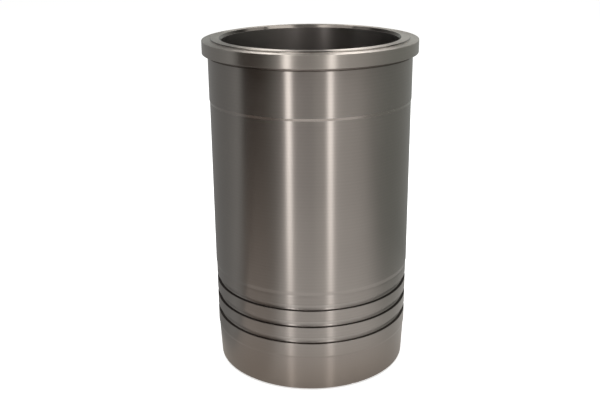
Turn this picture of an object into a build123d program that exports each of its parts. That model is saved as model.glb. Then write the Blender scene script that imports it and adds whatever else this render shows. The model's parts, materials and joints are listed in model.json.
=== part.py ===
from build123d import *
import os

# Cylinder liner: one turned ring of cast iron that lines one cylinder of an engine.
# It is a wet liner, hung in its block by the flange at the top and sealed near the foot.
# Millimetres. The bore runs along +Z, and the liner stands on its foot at Z = 0.

# Bore, with the lead-in that closes the piston rings and the chamfer at the foot
total_height = 244.7
bore_diameter = 127.0
mouth_lead_height = 2.0
mouth_lead_width = 1.2
foot_bore_chamfer = 1.0

# Body, the long wall that the coolant washes
body_wall = 9.35

# Flange, with the raised ring that the cylinder head gasket closes on
flange_overhang = 4.0
flange_thickness = 9.2
flange_edge = 0.4
ring_width = 7.6
ring_height = 1.2
ring_edge = 0.6

# Upper pilot, the slightly larger band that centres the liner in the block, and its lead-in
pilot_rise = 0.4
pilot_length = 32.9
pilot_lead_height = 1.8

# Undercut in the corner below the flange, so that the flange seats flat
undercut_height = 2.1
undercut_depth = 0.8
undercut_radius = 0.6

# Seal land, slightly smaller than the body, with its lead-in and the shallow relief where the tool ran out
land_drop = 0.35
land_lead_height = 3.0
land_relief_height = 1.3
land_relief_depth = 0.1
upper_land_height = 7.24
lower_land_height = 9.6

# Seal grooves, round at the bottom, for rubber rings, and the lands between them
groove_count = 3
groove_width = 4.9
groove_depth = 2.6
groove_radius = 1.8
groove_lip = 0.2
groove_land_height = 7.83

# Skirt, tapered so that it enters the block's lower bore, and the edge of the foot
skirt_height = 28.0
skirt_lead_height = 1.5
skirt_drop = 0.35
skirt_taper = 1.3
foot_edge_height = 1.5
foot_edge_width = 2.0

# Round corners inside a groove: the share of a wall that one may take, its turn and its short cone faces
corner_share = 0.9
corner_turn = 90.0
corner_faces = 3

# How far a cutter reaches past the metal
clear = 1.0

# Radii that follow, from the bore outwards
bore_radius = bore_diameter / 2
ring_radius = bore_radius + ring_width
body_radius = bore_radius + body_wall
pilot_radius = body_radius + pilot_rise
flange_radius = pilot_radius + flange_overhang
land_radius = body_radius - land_drop
groove_floor_radius = land_radius - groove_depth
skirt_top_radius = land_radius - skirt_drop
skirt_foot_radius = skirt_top_radius - skirt_taper

# Heights that follow, the upper ones from the top down and the lower ones from the foot up
flange_top = total_height - ring_height
flange_seat = flange_top - flange_thickness
pilot_foot = flange_seat - pilot_length
groove_pitch = groove_width + groove_land_height
first_groove_foot = skirt_height + lower_land_height
last_groove_head = first_groove_foot + (groove_count - 1) * groove_pitch + groove_width
land_lead_foot = last_groove_head + upper_land_height
land_lead_head = land_lead_foot + land_lead_height


def turned(outline):
    """Turn a closed outline of (radius, height) points about the bore's axis."""
    with BuildSketch(Plane.XZ) as section:
        with BuildLine():
            Polyline(*outline, close=True)
        make_face()
    return revolve(section.sketch, Axis.Z)


def round_corner(floor_radius, height, radius, start):
    """Points of a quarter round that meets a groove's floor, its centre at the given height.

    It starts at the angle start, in degrees, and each step between two points turns to one short cone face.
    """
    arc = CenterArc((floor_radius + radius, height), radius, start, corner_turn)
    return [arc @ (step / corner_faces) for step in range(corner_faces + 1)]


def groove_floor(floor_radius, foot, head, radius):
    """The inside of a groove from its lower wall to its upper one, as two lists: lower and upper corner."""
    lower = round_corner(floor_radius, foot + radius, radius, 2 * corner_turn)
    upper = round_corner(floor_radius, head - radius, radius, corner_turn)
    return lower, upper


def blank():
    """The outer form, still solid: skirt, seal land, body, pilot, flange and raised ring."""
    return turned(
        [
            (0, 0),
            (skirt_foot_radius - foot_edge_width, 0),
            (skirt_foot_radius, foot_edge_height),
            (skirt_top_radius, skirt_height - skirt_lead_height),
            (land_radius, skirt_height),
            (land_radius, land_lead_foot - land_relief_height),
            (land_radius - land_relief_depth, land_lead_foot),
            (body_radius, land_lead_head),
            (body_radius, pilot_foot - pilot_lead_height),
            (pilot_radius, pilot_foot),
            (pilot_radius, flange_seat),
            (flange_radius - flange_edge, flange_seat),
            (flange_radius, flange_seat + flange_edge),
            (flange_radius, flange_top - flange_edge),
            (flange_radius - flange_edge, flange_top),
            (ring_radius, flange_top),
            (ring_radius, total_height - ring_edge),
            (ring_radius - ring_edge, total_height),
            (0, total_height),
        ]
    )


def bore():
    """What is bored out: the straight bore, the lead-in at its mouth and the chamfer at its foot."""
    mouth_radius = bore_radius + mouth_lead_width
    foot_radius = bore_radius + foot_bore_chamfer
    return turned(
        [
            (0, -clear),
            (foot_radius, -clear),
            (foot_radius, 0),
            (bore_radius, foot_bore_chamfer),
            (bore_radius, total_height - mouth_lead_height),
            (mouth_radius, total_height),
            (mouth_radius, total_height + clear),
            (0, total_height + clear),
        ]
    )


def undercut():
    """The small groove below the flange seat, with round corners."""
    floor_radius = pilot_radius - undercut_depth
    foot = flange_seat - undercut_height
    corner = min(undercut_radius, undercut_depth * corner_share, undercut_height / 2 * corner_share)
    lower, upper = groove_floor(floor_radius, foot, flange_seat, corner)
    mouth = [
        (pilot_radius + clear, foot),
        (pilot_radius + clear, flange_seat),
    ]
    return turned(lower + mouth + upper)


def seal_groove(foot):
    """One seal groove, its lower lip at the height foot: round corners inside, broken lips outside."""
    head = foot + groove_width
    straight_depth = groove_depth - groove_lip
    straight_width = groove_width - 2 * groove_lip
    corner = min(groove_radius, straight_depth * corner_share, straight_width / 2 * corner_share)
    lower, upper = groove_floor(groove_floor_radius, foot + groove_lip, head - groove_lip, corner)
    mouth = [
        (land_radius - groove_lip, foot + groove_lip),
        (land_radius, foot),
        (land_radius + clear, foot),
        (land_radius + clear, head),
        (land_radius, head),
        (land_radius - groove_lip, head - groove_lip),
    ]
    return turned(lower + mouth + upper)


def cylinder_liner():
    """The finished liner: the turned blank, bored, undercut and grooved."""
    liner = blank() - bore() - undercut()
    for number in range(groove_count):
        liner -= seal_groove(first_groove_foot + number * groove_pitch)
    return liner


os.makedirs("parts", exist_ok=True)
export_step(cylinder_liner(), "parts/cylinder_liner.step")
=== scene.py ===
"""The look of the cylinder liner: one turned, bored and honed ring of cast iron on a pale floor."""

import json
import logging
import math
from dataclasses import dataclass
from enum import IntEnum
from typing import Any

import bpy
import numpy as np
from mathutils import Matrix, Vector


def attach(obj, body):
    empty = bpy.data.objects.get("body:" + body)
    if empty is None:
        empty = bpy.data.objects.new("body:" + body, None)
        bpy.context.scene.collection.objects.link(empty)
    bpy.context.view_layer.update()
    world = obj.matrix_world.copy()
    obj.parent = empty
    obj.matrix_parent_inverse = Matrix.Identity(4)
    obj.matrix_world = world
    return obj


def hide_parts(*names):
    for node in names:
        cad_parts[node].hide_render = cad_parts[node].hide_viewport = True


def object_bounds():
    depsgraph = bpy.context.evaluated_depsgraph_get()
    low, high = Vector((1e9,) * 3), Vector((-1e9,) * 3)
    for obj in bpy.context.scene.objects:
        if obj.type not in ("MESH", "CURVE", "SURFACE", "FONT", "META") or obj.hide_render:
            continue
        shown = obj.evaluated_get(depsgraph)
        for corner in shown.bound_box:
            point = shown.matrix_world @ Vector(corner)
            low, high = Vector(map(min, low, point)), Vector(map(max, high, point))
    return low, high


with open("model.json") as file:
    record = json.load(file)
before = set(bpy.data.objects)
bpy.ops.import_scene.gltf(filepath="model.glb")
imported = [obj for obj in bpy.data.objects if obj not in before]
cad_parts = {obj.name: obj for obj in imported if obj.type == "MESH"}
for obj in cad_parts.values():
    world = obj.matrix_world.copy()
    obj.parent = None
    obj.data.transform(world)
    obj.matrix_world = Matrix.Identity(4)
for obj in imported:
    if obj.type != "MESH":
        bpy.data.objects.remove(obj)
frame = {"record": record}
cad_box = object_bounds()

Array = np.ndarray
Colour = tuple[float, float, float, float]

MM = 0.001
NODE = "cylinder_liner"
LATHE_MAP = "lathe"
TONE = "tone"

# The tones of the lamps, and the ends of a panel that reaches past its cloth, in metres
LAMP_WHITE = "FFFDFA"
STRIP_WHITE = "FFFBF9"
PAST_FOOT = -1.0
PAST_HEAD = 2.0

logging.basicConfig(level=logging.INFO, format="%(name)s: %(message)s")
logger = logging.getLogger("liner_scene")


# Colour, nodes and meshes


def linear(hex_colour: str, strength: float = 1.0) -> Colour:
    """Turn an sRGB hex colour into the linear colour that a node takes.

    Args:
        hex_colour: The colour as six hex digits.
        strength: A factor on the linear colour.

    Returns:
        Linear red, green, blue and an alpha of 1.
    """
    parts = np.array([int(hex_colour[place:place + 2], 16) for place in (0, 2, 4)]) / 255
    light = np.where(parts <= 0.04045, parts / 12.92, ((parts + 0.055) / 1.055) ** 2.4) * strength
    return (float(light[0]), float(light[1]), float(light[2]), 1.0)


def add_node(
    tree: bpy.types.NodeTree,
    kind: str,
    inputs: dict[str | int, Any] | None = None,
    **settings: Any,
) -> bpy.types.Node:
    """Add one node with its settings, and with a value or a link on each named input.

    Args:
        tree: The node tree that gets the node.
        kind: The node's type name, without its leading ShaderNode.
        inputs: For each input, by name or number, a value or the output socket to link.
        settings: The node's own properties.

    Returns:
        The new node.
    """
    node = tree.nodes.new("ShaderNode" + kind)
    for name, value in settings.items():
        setattr(node, name, value)
    for name, value in (inputs or {}).items():
        if isinstance(value, bpy.types.NodeSocket):
            tree.links.new(value, node.inputs[name])
        else:
            node.inputs[name].default_value = value
    return node


def new_material(name: str) -> tuple[bpy.types.Material, bpy.types.NodeTree]:
    """Make an empty node material.

    Args:
        name: The material's name.

    Returns:
        The material and its node tree, with no node in it.
    """
    material = bpy.data.materials.new(name)
    material.use_nodes = True
    material.node_tree.nodes.clear()
    return material, material.node_tree


def seen_as_background(tree: bpy.types.NodeTree) -> bpy.types.NodeSocket:
    """Tell the rays that should find white from those that carry light between matt surfaces.

    Args:
        tree: The node tree that gets the nodes.

    Returns:
        1 for a ray from the camera, from a mirror or through glass, and 0 for any other.
    """
    rays = add_node(tree, "LightPath").outputs
    seen = rays["Is Camera Ray"]
    for other in ("Is Glossy Ray", "Is Transmission Ray"):
        seen = add_node(tree, "Math", {0: seen, 1: rays[other]}, operation="MAXIMUM").outputs[0]
    return seen


def grid_mesh(name: str, points: Array, close_rows: bool, close_columns: bool) -> bpy.types.Object:
    """Put a grid of points into a mesh of quads.

    The corner numbers of all quads are one array: each quad joins a point, its neighbour in the next
    column, the one across and the one in the next row, and a closed direction wraps round to its start.

    Args:
        name: The object's name.
        points: Rows by columns by 3, in metres.
        close_rows: Whether the last row joins the first.
        close_columns: Whether the last column joins the first.

    Returns:
        The new object, linked to the scene, smooth shaded.
    """
    rows, columns = points.shape[:2]
    number = np.arange(rows * columns).reshape(rows, columns)
    number = np.concatenate([number, number[:1]]) if close_rows else number
    number = np.concatenate([number, number[:, :1]], axis=1) if close_columns else number
    row, next_row = number[:-1], number[1:]
    quads = np.stack([row[:, :-1], row[:, 1:], next_row[:, 1:], next_row[:, :-1]], axis=-1).reshape(-1, 4)
    mesh = bpy.data.meshes.new(name)
    mesh.vertices.add(rows * columns)
    mesh.vertices.foreach_set("co", points.astype(np.float32).ravel())
    mesh.loops.add(quads.size)
    mesh.loops.foreach_set("vertex_index", quads.astype(np.int32).ravel())
    mesh.polygons.add(len(quads))
    mesh.polygons.foreach_set("loop_start", np.arange(0, quads.size, 4, dtype=np.int32))
    mesh.polygons.foreach_set("use_smooth", np.ones(len(quads), dtype=bool))
    mesh.update(calc_edges=True)
    piece = bpy.data.objects.new(name, mesh)
    bpy.context.collection.objects.link(piece)
    return piece


# Finishes of the iron


@dataclass(frozen=True)
class CutIron:
    """Grey cast iron cut by a tool on a lathe.

    The tool leaves fine grooves round the part. They spread light along the profile and hardly across it,
    so a lamp shows as a clean streak at right angles to the grooves. Sizes in millimetres.
    """

    name: str
    light: str
    dark: str
    roughness: float
    anisotropy: float
    ring_pitch: float = 2.4
    ring_depth: float = 0.0012
    ring_share: float = 0.35
    rings_a_change: float = 1.7
    cloud_size: float = 60.0
    contrast: float = 0.5
    foot_tint: str = "867E77"
    foot_tint_head: float = 42.0
    foot_tint_foot: float = 12.0

    def tinted_towards_foot(
        self, tree: bpy.types.NodeTree, place: bpy.types.NodeSocket, colour: bpy.types.NodeSocket
    ) -> bpy.types.NodeSocket:
        """Darken and brown the iron towards the foot, from the tint's head to its foot.

        Args:
            tree: The material's node tree.
            place: Object coordinates.
            colour: The clean iron's colour.

        Returns:
            The tinted colour.
        """
        split = add_node(tree, "SeparateXYZ", {"Vector": place})
        head, foot = self.foot_tint_head * MM, self.foot_tint_foot * MM
        share = add_node(
            tree,
            "MapRange",
            {"Value": split.outputs["Z"], "From Min": head, "From Max": foot},
        )
        mixed = add_node(
            tree, "Mix", {"Factor": share.outputs[0], "A": colour, "B": linear(self.foot_tint)}, data_type="RGBA"
        )
        return mixed.outputs["Result"]

    def marks(self, tree: bpy.types.NodeTree) -> bpy.types.NodeSocket:
        """Draw the rings that the tool leaves: a sine along the profile, its strength changing slowly.

        The feed is about 0.2 mm a turn, too fine to show, so the rings are as coarse as the chatter that
        can be seen on the wall.

        Args:
            tree: The material's node tree.

        Returns:
            The height of the marks, from 0 to 1.
        """
        place = add_node(tree, "UVMap", uv_map=LATHE_MAP)
        split = add_node(tree, "SeparateXYZ", {"Vector": place.outputs["UV"]})
        turns = 2 * math.pi / (self.ring_pitch * MM)
        change = self.ring_pitch * self.rings_a_change * MM
        phase = add_node(tree, "Math", {0: split.outputs["X"], 1: turns}, operation="MULTIPLY")
        wave = add_node(tree, "Math", {0: phase.outputs[0]}, operation="SINE")
        slow = add_node(
            tree,
            "TexNoise",
            {"W": split.outputs["X"], "Scale": 1 / change, "Detail": 2.0},
            noise_dimensions="1D",
        )
        mixed = add_node(tree, "Math", {0: wave.outputs[0], 1: slow.outputs[0]}, operation="MULTIPLY")
        level = add_node(tree, "Math", {0: mixed.outputs[0], 1: 0.5, 2: 0.5}, operation="MULTIPLY_ADD")
        return level.outputs[0]

    def material(self) -> bpy.types.Material:
        """Build the material: clouded colour, tool marks and a lobe stretched along the profile.

        Clouds and marks average a half each, so their sum lies about a half plus half the marks' share.

        Returns:
            The finished material.
        """
        material, tree = new_material(self.name)
        marks = self.marks(tree)
        place = add_node(tree, "TexCoord")
        clouds = add_node(
            tree,
            "TexNoise",
            {"Vector": place.outputs["Object"], "Scale": 1 / (self.cloud_size * MM), "Detail": 4.0},
        )
        both = add_node(
            tree, "Math", {0: marks, 1: self.ring_share, 2: clouds.outputs[0]}, operation="MULTIPLY_ADD"
        )
        middle = (1 + self.ring_share) / 2
        low, high = middle - self.contrast, middle + self.contrast
        share = add_node(
            tree,
            "MapRange",
            {"Value": both.outputs[0], "From Min": low, "From Max": high},
        )
        colour = add_node(
            tree,
            "Mix",
            {"Factor": share.outputs[0], "A": linear(self.dark), "B": linear(self.light)},
            data_type="RGBA",
        )
        bump = add_node(tree, "Bump", {"Height": marks, "Distance": self.ring_depth * MM, "Strength": 1.0})
        along = add_node(tree, "Tangent", direction_type="UV_MAP", uv_map=LATHE_MAP)
        iron = add_node(
            tree,
            "BsdfPrincipled",
            {
                "Base Color": self.tinted_towards_foot(tree, place.outputs["Object"], colour.outputs["Result"]),
                "Metallic": 1.0,
                "Roughness": self.roughness,
                "Anisotropic": self.anisotropy,
                "Normal": bump.outputs[0],
                "Tangent": along.outputs[0],
            },
        )
        add_node(tree, "OutputMaterial", {"Surface": iron.outputs[0]})
        return material


@dataclass(frozen=True)
class HonedIron(CutIron):
    """Grey cast iron honed with stones that turn and stroke, which leaves crossed helical scratches.

    The crosshatch holds oil. It dulls the wall and softens a streak of light along the bore.
    """

    lines_round: int = 120
    angle: float = 30.0
    radius: float = 63.5

    def marks(self, tree: bpy.types.NodeTree) -> bpy.types.NodeSocket:
        """Draw the crosshatch: two sets of helices, each a sine of the turn round the bore and the height.

        A set has a whole number of lines round the bore, so it closes. Real scratches are about 0.05 mm
        apart, too fine to show, so they are drawn some 3 mm apart.

        Args:
            tree: The material's node tree.

        Returns:
            The height of the marks, from 0 to 1.
        """
        place = add_node(tree, "UVMap", uv_map=LATHE_MAP)
        split = add_node(tree, "SeparateXYZ", {"Vector": place.outputs["UV"]})
        rise = self.lines_round / (self.radius * MM * math.tan(math.radians(self.angle)))
        climb = add_node(tree, "Math", {0: split.outputs["X"], 1: rise}, operation="MULTIPLY")
        sets = []
        for turn in (self.lines_round, -self.lines_round):
            phase = add_node(
                tree,
                "Math",
                {0: split.outputs["Y"], 1: 2 * math.pi * turn, 2: climb.outputs[0]},
                operation="MULTIPLY_ADD",
            )
            sets.append(add_node(tree, "Math", {0: phase.outputs[0]}, operation="SINE").outputs[0])
        crossed = add_node(tree, "Math", {0: sets[0], 1: sets[1]}, operation="ADD")
        level = add_node(tree, "Math", {0: crossed.outputs[0], 1: 0.25, 2: 0.5}, operation="MULTIPLY_ADD")
        return level.outputs[0]


class Surface(IntEnum):
    """The differently finished surfaces of the liner, in the order of its materials."""

    WALL = 0
    SKIRT = 1
    GROOVE = 2
    RECESS = 3
    UNDERCUT = 4
    RIM = 5
    FACE = 6
    LEAD = 7
    STEP = 8
    BORE = 9


def iron_finishes() -> dict[Surface, CutIron]:
    """List the finish of each surface.

    Returns:
        One finish for each surface.
    """
    return {
        # Turned with a fine feed: satin, with long clean streaks
        Surface.WALL: CutIron("fine_turned_iron", "95908B", "8B8682", 0.32, 1.0),
        # Turned the same way: a shade darker
        Surface.SKIRT: CutIron("turned_skirt_iron", "908B86", "86817D", 0.31, 1.0),
        # Cut by a form tool: painted lighter than the wall, a painted light that lifts the groove floor out
        # of its shade, with softer streaks
        Surface.GROOVE: CutIron("painted_light_groove_iron", "A8A39E", "9C9793", 0.36, 0.9),
        # The same cut, painted nearly black for the shade on a groove's upward faces
        Surface.RECESS: CutIron("painted_shade_recess_iron", "4A4542", "3E3A37", 0.45, 0.5),
        # A narrow cut below the flange, painted darker for the shade under the flange: a dark line
        Surface.UNDERCUT: CutIron("painted_shade_undercut_iron", "7C7671", "706A65", 0.42, 0.5),
        # Turned in one light cut: a lighter satin
        Surface.RIM: CutIron("turned_rim_iron", "A19C96", "97928D", 0.35, 0.9),
        # Faced across the end: bright, mottled and finely ringed
        Surface.FACE: CutIron(
            "faced_iron", "C4BEB8", "A29C96", 0.34, 0.95, ring_pitch=0.9, cloud_size=4.0, contrast=0.3
        ),
        # Smoothed by a slow last cut, also on the raised ring's edge: dark, and it mirrors the lamps
        Surface.LEAD: CutIron("smooth_lead_iron", "605C58", "595551", 0.08, 0.2, ring_depth=0.0002),
        # Cut with a fine feed: smooth enough to show the pale floor as one light line
        Surface.STEP: CutIron("smooth_step_iron", "96908B", "8E8883", 0.22, 0.6, ring_depth=0.0004),
        # Honed: dull and a little darker than the outside
        Surface.BORE: HonedIron("honed_iron", "827E7B", "797572", 0.32, 0.8),
    }


# The liner


@dataclass(frozen=True)
class Interface:
    """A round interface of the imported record: its radius and its lower and upper end, in metres."""

    radius: float
    foot: float
    head: float


def interface(name: str) -> Interface:
    """Read a round interface from the frame.

    Args:
        name: The mount's name in the record.

    Returns:
        Its radius and the two ends of its wall.
    """
    mount = next(entry for entry in frame["record"]["mounts"] if entry["name"] == name)
    half = mount["dims"]["length_mm"] * MM / 2
    height = mount["pos_m"][2]
    return Interface(mount["dims"]["r_mm"] * MM, height - half, height + half)


@dataclass
class CylinderLiner:
    """The liner's profile, turned about the bore's axis. Sizes in millimetres."""

    body_wall: float = 9.35
    ring_width: float = 7.6
    ring_height: float = 1.2
    ring_edge: float = 0.6
    mouth_lead_height: float = 2.0
    mouth_lead_width: float = 1.2
    foot_bore_chamfer: float = 1.0
    flange_edge: float = 0.4
    pilot_lead_height: float = 1.8
    undercut_height: float = 2.1
    undercut_depth: float = 0.8
    undercut_radius: float = 0.6
    land_lead_height: float = 3.0
    land_relief_height: float = 1.3
    land_relief_depth: float = 0.1
    groove_radius: float = 1.8
    groove_lip: float = 0.2
    skirt_lead_height: float = 1.5
    skirt_drop: float = 0.35
    skirt_taper: float = 1.3
    foot_edge_height: float = 1.5
    foot_edge_width: float = 2.0
    fine_edge: float = 0.15
    soft_edge: float = 0.5
    support: float = 0.15
    support_share: float = 0.25
    corner_share: float = 0.48
    arc_steps: int = 3
    segments: int = 288
    # How far up a groove's face must look to get the painted shade of the recess finish
    painted_shade_slope: float = 0.8
    nick_azimuth: float = -64.0
    nick_width: float = 0.9
    nick_depth: float = 0.9

    def corners(self) -> tuple[Array, Array]:
        """List the profile's corners, from the bore's foot round the outside and down the bore.

        Returns:
            Each corner's radius, height and edge radius in millimetres, and the surface that follows it.
        """
        bore = interface("bore")
        pilot = interface("upper_pilot")
        land = interface("lower_pilot")
        seal_land = interface("seal_land")
        flange = interface("flange_rim")
        grooves = [interface(name + "_seal_groove") for name in ("lower", "middle", "upper")]
        top = cad_box[1][2] / MM
        bore_radius = bore.radius / MM
        body_radius = bore_radius + self.body_wall
        land_radius = land.radius / MM
        pilot_radius = pilot.radius / MM
        flange_radius = flange.radius / MM
        ring_radius = bore_radius + self.ring_width
        skirt_top = land_radius - self.skirt_drop
        skirt_foot = skirt_top - self.skirt_taper
        skirt_head = land.foot / MM
        seat = flange.foot / MM - self.flange_edge
        rim_top = top - self.ring_height
        relief = seal_land.head / MM
        lead = relief + self.land_relief_height
        step = pilot.foot / MM
        undercut_floor = pilot_radius - self.undercut_depth
        undercut_foot = seat - self.undercut_height
        fine, soft = self.fine_edge, self.soft_edge
        outline = [
            (bore_radius + self.foot_bore_chamfer, 0, fine, Surface.FACE),
            (skirt_foot - self.foot_edge_width, 0, fine, Surface.SKIRT),
            (skirt_foot, self.foot_edge_height, soft, Surface.SKIRT),
            (skirt_top, skirt_head - self.skirt_lead_height, soft, Surface.SKIRT),
            (land_radius, skirt_head, fine, Surface.WALL),
        ]
        lip = self.groove_lip
        for groove in grooves:
            floor, foot, head = groove.radius / MM, groove.foot / MM, groove.head / MM
            outline += [
                (land_radius, foot, fine, Surface.WALL),
                # The groove's lower wall, looking up: painted shade, in the recess finish
                (land_radius - lip, foot + lip, fine, Surface.RECESS),
                (floor, foot + lip, self.groove_radius, Surface.GROOVE),
                (floor, head - lip, self.groove_radius, Surface.GROOVE),
                (land_radius - lip, head - lip, fine, Surface.WALL),
                (land_radius, head, fine, Surface.WALL),
            ]
        outline += [
            (land_radius, relief, fine, Surface.WALL),
            (land_radius - self.land_relief_depth, lead, fine, Surface.WALL),
            (body_radius, lead + self.land_lead_height, soft, Surface.WALL),
            (body_radius, step - self.pilot_lead_height, fine, Surface.STEP),
            (pilot_radius, step, fine, Surface.WALL),
            (pilot_radius, undercut_foot, fine, Surface.WALL),
            # The undercut's floor under the flange: painted shade, in the undercut finish
            (undercut_floor, undercut_foot, self.undercut_radius, Surface.UNDERCUT),
            (undercut_floor, seat, self.undercut_radius, Surface.FACE),
            (flange_radius, seat, self.flange_edge, Surface.RIM),
            (flange_radius, rim_top, self.flange_edge, Surface.FACE),
            (ring_radius, rim_top, fine, Surface.FACE),
            (ring_radius, top - self.ring_edge, fine, Surface.LEAD),
            (ring_radius - self.ring_edge, top, fine, Surface.FACE),
            (bore_radius + self.mouth_lead_width, top, fine, Surface.LEAD),
            (bore_radius, top - self.mouth_lead_height, soft, Surface.BORE),
            (bore_radius, self.foot_bore_chamfer, fine, Surface.BORE),
        ]
        table = np.array(outline, dtype=float)
        return table[:, :3], table[:, 3].astype(int)

    def profile(self) -> tuple[Array, Array]:
        """Round every corner of the outline and put a support point at both ends of every straight.

        A corner's arc runs between the two points that lie one tangent length from it. Its points are
        the arc's centre plus a blend of the two end spokes, weighted by sines of the angle still to go and
        the angle gone. The tangent length is the edge radius over the tangent of half the corner's angle,
        at most the corner share of the shorter side. Where a groove's face looks up, its shade is painted in
        with the nearly black recess finish.

        Returns:
            The profile's points in metres, and the surface of the face that follows each.
        """
        table, surfaces = self.corners()
        here, radius = table[:, :2], table[:, 2]
        after = np.roll(here, -1, axis=0) - here
        length_after = np.linalg.norm(after, axis=1)
        before = -np.roll(after, 1, axis=0)
        length_before = np.roll(length_after, 1)
        to_after = after / length_after[:, None]
        to_before = before / length_before[:, None]
        half = np.arccos(np.clip((to_after * to_before).sum(axis=1), -1, 1)) / 2
        longest = self.corner_share * np.minimum(length_after, length_before)
        reach = np.minimum(radius / np.tan(half), longest)
        radius = reach * np.tan(half)
        middle = to_after + to_before
        middle /= np.linalg.norm(middle, axis=1)[:, None]
        centre = here + middle * (radius / np.sin(half))[:, None]
        start = here + to_before * reach[:, None] - centre
        end = here + to_after * reach[:, None] - centre
        sweep = (math.pi - 2 * half)[:, None]
        gone = np.linspace(0, 1, self.arc_steps + 1)[None, :]
        weights = np.stack([np.sin((1 - gone) * sweep), np.sin(gone * sweep)]) / np.sin(sweep)
        to_go, been = weights[..., None]
        arcs = centre[:, None] + to_go * start[:, None] + been * end[:, None]
        first = arcs[:, -1]
        straight = np.roll(arcs[:, 0], -1, axis=0) - first
        run = np.linalg.norm(straight, axis=1)
        share = np.minimum(self.support, run * self.support_share) / run
        ends = np.stack([share, 1 - share], axis=1)
        supports = first[:, None] + ends[..., None] * straight[:, None]
        points = np.concatenate([arcs, supports], axis=1)
        surfaces = np.repeat(surfaces, points.shape[1])
        points = points.reshape(-1, 2) * MM
        edge = np.roll(points, -1, axis=0) - points
        facing_up = -edge[:, 0] / np.linalg.norm(edge, axis=1)
        # Painted shade: a groove's faces that look up get the nearly black recess finish
        painted_shade_faces = (surfaces == Surface.GROOVE) & (facing_up > self.painted_shade_slope)
        return points, np.where(painted_shade_faces, Surface.RECESS, surfaces)

    def mesh(self) -> bpy.types.Object:
        """Carry the profile round the axis and press the small nick into the foot's edge.

        A point at turn t is (radius cos t, radius sin t, height). The nick lowers the radius by its depth
        times a bell curve of the distance from its place on the edge.

        Returns:
            The closed liner, its faces outwards, with its lathe map.
        """
        points, surfaces = self.profile()
        turn = np.arange(self.segments) / self.segments * 2 * math.pi
        radius, height = points[:, None, 0], points[:, None, 1]
        place = math.radians(self.nick_azimuth)
        round_way = (np.angle(np.exp(1j * (turn - place))) * radius) / (self.nick_width * MM)
        up_way = (height - self.foot_edge_height * MM / 2) / (self.nick_width * MM)
        outside = radius > (interface("bore").radius + self.body_wall * MM / 2)
        radius = radius - self.nick_depth * MM * np.exp(-round_way**2 - up_way**2) * outside
        grid = np.stack([radius * np.cos(turn), radius * np.sin(turn), height + 0 * turn], axis=-1)
        piece = grid_mesh("liner_casting", grid, True, True)
        self.map_surface(piece, points)
        finish = np.repeat(surfaces, self.segments).astype(np.int32)
        piece.data.polygons.foreach_set("material_index", finish)
        return piece

    def map_surface(self, piece: bpy.types.Object, points: Array) -> None:
        """Give every face its place on the lathe: how far along the profile, and what share of a turn.

        The map is worked out for each corner of each face from its row and column, so it closes with no
        stretched face at either seam.

        Args:
            piece: The liner.
            points: The profile in the order of the mesh's rows.
        """
        step = np.linalg.norm(np.roll(points, -1, axis=0) - points, axis=1)
        along = np.concatenate([[0.0], np.cumsum(step)])
        rows, columns = np.meshgrid(np.arange(len(points)), np.arange(self.segments), indexing="ij")
        row = np.stack([rows, rows, rows + 1, rows + 1], axis=-1)
        column = np.stack([columns, columns + 1, columns + 1, columns], axis=-1)
        places = np.stack([along[row], column / self.segments], axis=-1)
        layer = piece.data.uv_layers.new(name=LATHE_MAP)
        layer.uv.foreach_set("vector", places.astype(np.float32).ravel())

    def build(self) -> bpy.types.Object:
        """Make the liner, dress it and hand it to the frame.

        Returns:
            The liner.
        """
        piece = self.mesh()
        finishes = iron_finishes()
        for surface in Surface:
            piece.data.materials.append(finishes[surface].material())
        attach(piece, "root")
        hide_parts(NODE)
        logger.info("%s: %d faces, %d finishes", piece.name, len(piece.data.polygons), len(Surface))
        return piece


# The studio


def smooth_step(value: Array, middle: float, width: float) -> Array:
    """Rise from 0 to 1 over a width about a middle, as a logistic curve that is flat far from it."""
    steepness, flat = 4.0, 60.0
    return 1 / (1 + np.exp(np.clip(-(value - middle) / width * steepness, -flat, flat)))


def round_grid(azimuth: Array, radius: Array, height: Array) -> Array:
    """Place points by azimuth from the front, in degrees, and radius: (r sin a, -r cos a, height)."""
    turn = np.radians(azimuth)
    return np.stack([radius * np.sin(turn), -radius * np.cos(turn), height], axis=-1)


@dataclass(frozen=True)
class Panel:
    """One soft-edged panel of the light tent, of its ground or of its ceiling.

    On the tent, left and right are azimuths in degrees from the front, positive to the right, and foot
    and head are heights in metres. On the ground foot and head are radii, and on the ceiling all four are
    metres. Tone is sRGB hex times a strength, and stand is the tent's radius at the floor there, or 0
    where the panel hangs on the cloth behind it.
    """

    left: float
    right: float
    foot: float
    head: float
    tone: str
    strength: float = 1.0
    left_edge: float = 1.4
    right_edge: float = 1.4
    height_edge: float = 0.1
    stand: float = 0.0

    def share(self, across: Array, upright: Array) -> Array:
        """Weigh the panel at each place: the product of four logistic steps, one at each of its edges.

        Args:
            across: Places from left to right.
            upright: Places from foot to head.

        Returns:
            From 0 outside the panel to 1 inside it.
        """
        return (
            smooth_step(across, self.left, self.left_edge)
            * smooth_step(-across, -self.right, self.right_edge)
            * smooth_step(upright, self.foot, self.height_edge)
            * smooth_step(-upright, -self.head, self.height_edge)
        )


def blend_panels(across: Array, upright: Array, cloth: str, panels: list[Panel]) -> Array:
    """Lay panels over a cloth, each blended in by its share over those before it.

    Args:
        across: Places from left to right.
        upright: Places from foot to head.
        cloth: The cloth's tone in sRGB hex.
        panels: The panels in the order in which they are laid.

    Returns:
        The linear colour at each place, with an alpha of 1.
    """
    tone = np.zeros(across.shape + (4,)) + np.array(linear(cloth))
    for panel in panels:
        share = panel.share(across, upright)[..., None]
        tone = tone * (1 - share) + np.array(linear(panel.tone, panel.strength)) * share
    return tone


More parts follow.
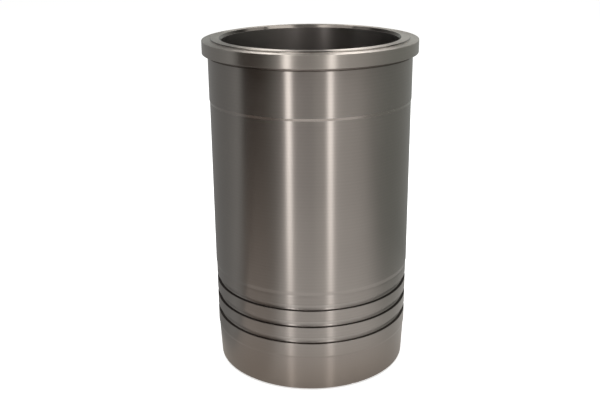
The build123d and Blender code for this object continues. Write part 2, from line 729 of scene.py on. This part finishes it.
@dataclass
class Studio:
    """A pale floor, a soft lamp overhead and a round light tent that only shows as reflections. Metres."""

    tent_radius: float = 0.45
    tent_stand: float = 0.2
    tent_height: float = 0.75
    tent_cloth: str = "A8AAA6"
    tent_columns: int = 720
    tent_rows: int = 60
    ground_cloth: str = "EDEAE7"
    ground_height: float = 0.0003
    ceiling_half: float = 0.75
    ceiling_cloth: str = "5C5A58"
    ceiling_steps: int = 100
    floor_half: float = 4.0
    floor_colour: str = "F2F2F0"
    floor_lift: float = 0.58
    lamp_height: float = 1.3
    lamp_size: float = 1.4
    lamp_power: float = 16.0
    world_diffuse: float = 0.45

    def cloths(self) -> list[Panel]:
        """List the tent's cloths, each laid over those before it, from the left to the right.

        Returns:
            The left cloth close to the liner, the dark gap, the front cloths and the right one.
        """
        foot, head = PAST_FOOT, PAST_HEAD
        left, right = -69.5, -36.0
        gap: dict[str, float] = {"left_edge": 2.5, "right_edge": 18.0, "stand": 0.2}
        return [
            Panel(-150, left, foot, head, "9C9C9B", left_edge=20.0, right_edge=2.5, stand=0.09),
            Panel(-74, left, foot, head, "CDCDCC", left_edge=30.0, right_edge=2.5, stand=0.09),
            Panel(left, right, foot, head, "2B201B", **gap),
            Panel(left, right, foot, 0.1, "B4A9A1", height_edge=0.14, **gap),
            Panel(left, right, 0.34, head, "3E352F", height_edge=0.08, **gap),
            Panel(-31, 3, foot, head, "B0ABA9", left_edge=10.0, right_edge=6.0, stand=0.42),
            Panel(3, 72, foot, head, "CFCBC7", left_edge=6.0, right_edge=36.0, stand=0.42),
            Panel(72, 110, foot, head, "A2A5A0", left_edge=36.0, right_edge=24.0, stand=0.18),
        ]

    def ground_cloths(self) -> list[Panel]:
        """List the cloths on the ground: three from left to right, and a greyer one round the liner, a
        painted shadow of the liner on the floor.

        Returns:
            The cloths in the order in which they are laid.
        """
        middle, edge = PAST_FOOT, PAST_HEAD
        return [
            Panel(-90, -31, middle, edge, "E8E1DB", left_edge=20.0, right_edge=10.0),
            Panel(-31, 75, middle, edge, "FAF7F4", 1.28, left_edge=10.0, right_edge=30.0),
            Panel(75, 130, middle, edge, "F9F7F3", left_edge=30.0, right_edge=20.0),
            # Painted shadow: the floor, as the liner mirrors it, is darker close round the liner
            Panel(-400, 400, middle, 0.085, "D4CFC9", height_edge=0.03),
        ]

    def strips(self) -> list[Panel]:
        """List the upright strip lamps in front: two draw the wall's streaks, one a streak in the bore.

        Returns:
            The strips, from the left to the right.
        """
        return [
            Panel(-24.2, -19.1, 0.0, 0.42, STRIP_WHITE, 5.7),
            Panel(17.3, 22.6, 0.0, 0.3, STRIP_WHITE, 5.7),
            Panel(27.5, 32.5, 0.4, PAST_HEAD, STRIP_WHITE, 4.0, height_edge=0.06),
        ]

    def back_lamps(self) -> list[Panel]:
        """List what hangs high at the back of the tent and at its sides.

        Returns:
            The dark upper back, the brighter upper sides and the two lamps that the flange's face mirrors.
        """
        dark, head = self.ceiling_cloth, PAST_HEAD
        return [
            Panel(-200, -110, 0.42, head, dark, left_edge=12.0, right_edge=30.0),
            Panel(100, 200, 0.27, 0.45, "CBCCC7", left_edge=30.0, right_edge=12.0, height_edge=0.05),
            Panel(110, 200, 0.42, head, dark, left_edge=30.0, right_edge=12.0),
            Panel(-140, -84, 0.52, head, LAMP_WHITE, left_edge=8.0, right_edge=6.0, height_edge=0.05),
            Panel(84, 140, 0.52, head, LAMP_WHITE, 1.9, left_edge=6.0, right_edge=8.0, height_edge=0.05),
            Panel(-172, -157, 0.46, head, LAMP_WHITE, 3.3, left_edge=4.0, right_edge=4.0),
            Panel(152, 171, 0.46, head, LAMP_WHITE, 3.3, left_edge=4.0, right_edge=4.0),
        ]

    def softboxes(self) -> list[Panel]:
        """List the ceiling's softboxes. The numbers after the strength are the widths of their edges.

        Returns:
            Two that carry the back lamps on, and six that light the mouth's lead-in and the raised ring's
            edge from both sides and from the front.
        """
        return [
            Panel(-0.22, -0.08, 0.15, 1.0, LAMP_WHITE, 4.0, 0.04, 0.03, 0.1),
            Panel(0.08, 0.22, 0.15, 1.0, LAMP_WHITE, 4.0, 0.03, 0.04, 0.1),
            Panel(-0.45, -0.15, -0.12, 0.15, LAMP_WHITE, 4.0, 0.04, 0.04, 0.05),
            Panel(0.13, 0.5, -0.12, 0.15, LAMP_WHITE, 4.4, 0.04, 0.04, 0.05),
            Panel(-0.12, 0.17, -0.75, -0.2, LAMP_WHITE, 0.9, 0.04, 0.04, 0.05),
            Panel(-0.75, -0.09, -0.45, -0.1, LAMP_WHITE, 2.2, 0.1, 0.05, 0.05),
            Panel(-0.2, -0.09, -0.75, -0.15, LAMP_WHITE, 4.6, 0.1, 0.05, 0.05),
            Panel(0.17, 0.75, -0.75, -0.1, LAMP_WHITE, 4.4, 0.05, 0.1, 0.05),
        ]

    def floor(self) -> bpy.types.Object:
        """Lay the floor: matt pale paper, lifted to white where a ray sees it as background.

        Returns:
            The floor.
        """
        side = np.array([-self.floor_half, self.floor_half])
        across, deep = np.meshgrid(side, side)
        floor = grid_mesh("floor", np.stack([across, deep, 0 * across], axis=-1), False, False)
        material, tree = new_material("pale_floor_paper")
        seen = seen_as_background(tree)
        lift = add_node(tree, "Math", {0: seen, 1: self.floor_lift}, operation="MULTIPLY")
        paper = add_node(tree, "BsdfDiffuse", {"Color": linear(self.floor_colour)})
        glow = add_node(tree, "Emission", {"Color": linear("FFFFFF"), "Strength": lift.outputs[0]})
        both = add_node(tree, "AddShader", {0: paper.outputs[0], 1: glow.outputs[0]})
        add_node(tree, "OutputMaterial", {"Surface": both.outputs[0]})
        floor.data.materials.append(material)
        return floor

    def glowing(self, name: str, grid: Array, round_way: bool, tone: Array) -> bpy.types.Object:
        """Hang a glowing cloth, seen only by reflections, each point with its own tone.

        Args:
            name: The cloth's name.
            grid: Rows by columns by 3, in metres.
            round_way: Whether the columns close to a ring.
            tone: The linear colour of each point.

        Returns:
            The cloth.
        """
        cloth = grid_mesh(name, grid, False, round_way)
        layer = cloth.data.attributes.new(TONE, "FLOAT_COLOR", "POINT")
        layer.data.foreach_set("color", tone.astype(np.float32).ravel())
        material, tree = new_material(name + "_cloth")
        shade = add_node(tree, "Attribute", attribute_name=TONE)
        glow = add_node(tree, "Emission", {"Color": shade.outputs["Color"], "Strength": 1.0})
        add_node(tree, "OutputMaterial", {"Surface": glow.outputs[0]})
        material.cycles.emission_sampling = "NONE"
        cloth.data.materials.append(material)
        cloth.visible_camera = False
        cloth.visible_diffuse = False
        cloth.visible_shadow = False
        return cloth

    def tent(self) -> bpy.types.Object:
        """Stand the tent round the liner: a funnel whose foot has another radius under each cloth.

        The radius at the floor blends from cloth to cloth by their shares, as the tone does, and from
        there it grows evenly with the height to the same ring everywhere.

        Returns:
            The tent.
        """
        line = np.linspace(-180, 180, self.tent_columns, endpoint=False)
        azimuth, height = np.meshgrid(line, np.linspace(0, self.tent_height, self.tent_rows))
        panels = self.cloths() + self.strips() + self.back_lamps()
        tone = blend_panels(azimuth, height, self.tent_cloth, panels)
        foot = self.tent_stand + 0 * azimuth
        for cloth in self.cloths():
            share = cloth.share(azimuth, height)
            foot = foot * (1 - share) + cloth.stand * share
        radius = foot + (self.tent_radius - foot) * height / self.tent_height
        return self.glowing("light_tent", round_grid(azimuth, radius, height), True, tone)

    def ground(self) -> bpy.types.Object:
        """Spread a round cloth on the floor, from the liner's axis out to the tent.

        Returns:
            The cloth.
        """
        line = np.linspace(-180, 180, self.tent_columns, endpoint=False)
        azimuth, radius = np.meshgrid(line, np.linspace(self.tent_radius, 0, self.tent_rows))
        tone = blend_panels(azimuth, radius, self.ground_cloth, self.ground_cloths())
        height = np.full(radius.shape, self.ground_height)
        return self.glowing("light_ground", round_grid(azimuth, radius, height), True, tone)

    def ceiling(self) -> bpy.types.Object:
        """Close the tent with a flat grey ceiling that holds the softboxes.

        Returns:
            The ceiling.
        """
        line = np.linspace(-self.ceiling_half, self.ceiling_half, self.ceiling_steps)
        across, deep = np.meshgrid(line, line)
        tone = blend_panels(across, deep, self.ceiling_cloth, self.softboxes())
        grid = np.stack([across, deep, 0 * across + self.tent_height], axis=-1)
        return self.glowing("light_ceiling", grid, False, tone)

    def lamp(self) -> bpy.types.Object:
        """Hang one large soft lamp over the liner, which gives the floor its faint shadow.

        Returns:
            The lamp.
        """
        data = bpy.data.lights.new("overhead_softbox", "AREA")
        data.shape = "DISK"
        data.size = self.lamp_size
        data.energy = self.lamp_power
        lamp = bpy.data.objects.new("overhead_softbox", data)
        lamp.location = (0, 0, self.lamp_height)
        lamp.visible_glossy = False
        bpy.context.collection.objects.link(lamp)
        return lamp

    def world(self) -> bpy.types.World:
        """Fill the room with soft light, white where a ray sees it as background.

        Returns:
            The world.
        """
        world = bpy.data.worlds.new("white_room")
        world.use_nodes = True
        tree = world.node_tree
        tree.nodes.clear()
        seen = seen_as_background(tree)
        level = add_node(tree, "MapRange", {"Value": seen, "To Min": self.world_diffuse, "To Max": 1.0})
        sky = add_node(tree, "Background", {"Color": linear("FFFFFF"), "Strength": level.outputs[0]})
        add_node(tree, "OutputWorld", {"Surface": sky.outputs[0]})
        bpy.context.scene.world = world
        return world

    def build(self) -> None:
        """Set up the floor, the ground, the tent, its ceiling, the lamp and the world, and report each."""
        for part in (self.floor(), self.ground(), self.tent(), self.ceiling(), self.lamp(), self.world()):
            logger.info("studio: %s", part.name)


@dataclass
class Viewpoint:
    """The camera, in millimetres, radians and pixels of a 600 by 400 picture."""

    back: float = 619.40
    height: float = 329.63
    pitch: float = 0.32412
    yaw: float = -0.01318
    roll: float = -0.0088
    focal_pixels: float = 862.12
    picture_width: float = 600.0
    sensor: float = 36.0
    nearest: float = 10.0
    farthest: float = 50000.0

    def build(self) -> bpy.types.Object:
        """Place the camera: it looks along its forward axis, tipped down, turned and rolled a little.

        Forward is (sin yaw cos pitch, cos yaw cos pitch, minus sin pitch). Right starts level and up
        square to both, and the roll then turns right and up about forward.

        Returns:
            The camera.
        """
        forward = np.array(
            [
                math.sin(self.yaw) * math.cos(self.pitch),
                math.cos(self.yaw) * math.cos(self.pitch),
                -math.sin(self.pitch),
            ]
        )
        level = np.array([math.cos(self.yaw), -math.sin(self.yaw), 0.0])
        upright = np.cross(level, forward)
        right = level * math.cos(self.roll) + upright * math.sin(self.roll)
        up = -level * math.sin(self.roll) + upright * math.cos(self.roll)
        data = bpy.data.cameras.new("camera")
        data.sensor_width = self.sensor
        data.lens = self.focal_pixels * self.sensor / self.picture_width
        data.clip_start, data.clip_end = self.nearest * MM, self.farthest * MM
        camera = bpy.data.objects.new("camera", data)
        turned = np.eye(4)
        turned[:3, 0], turned[:3, 1], turned[:3, 2] = right, up, -forward
        turned[:3, 3] = np.array([0.0, -self.back, self.height]) * MM
        camera.matrix_world = Matrix(turned.tolist())
        bpy.context.collection.objects.link(camera)
        bpy.context.scene.camera = camera
        logger.info("camera: lens %.2f mm", data.lens)
        return camera


def main() -> None:
    """Build the liner, the studio and the camera, in that order."""
    bpy.context.scene.view_settings.view_transform = "Standard"
    CylinderLiner().build()
    Studio().build()
    Viewpoint().build()
    bpy.context.view_layer.update()


if __name__ == "__main__":
    main()
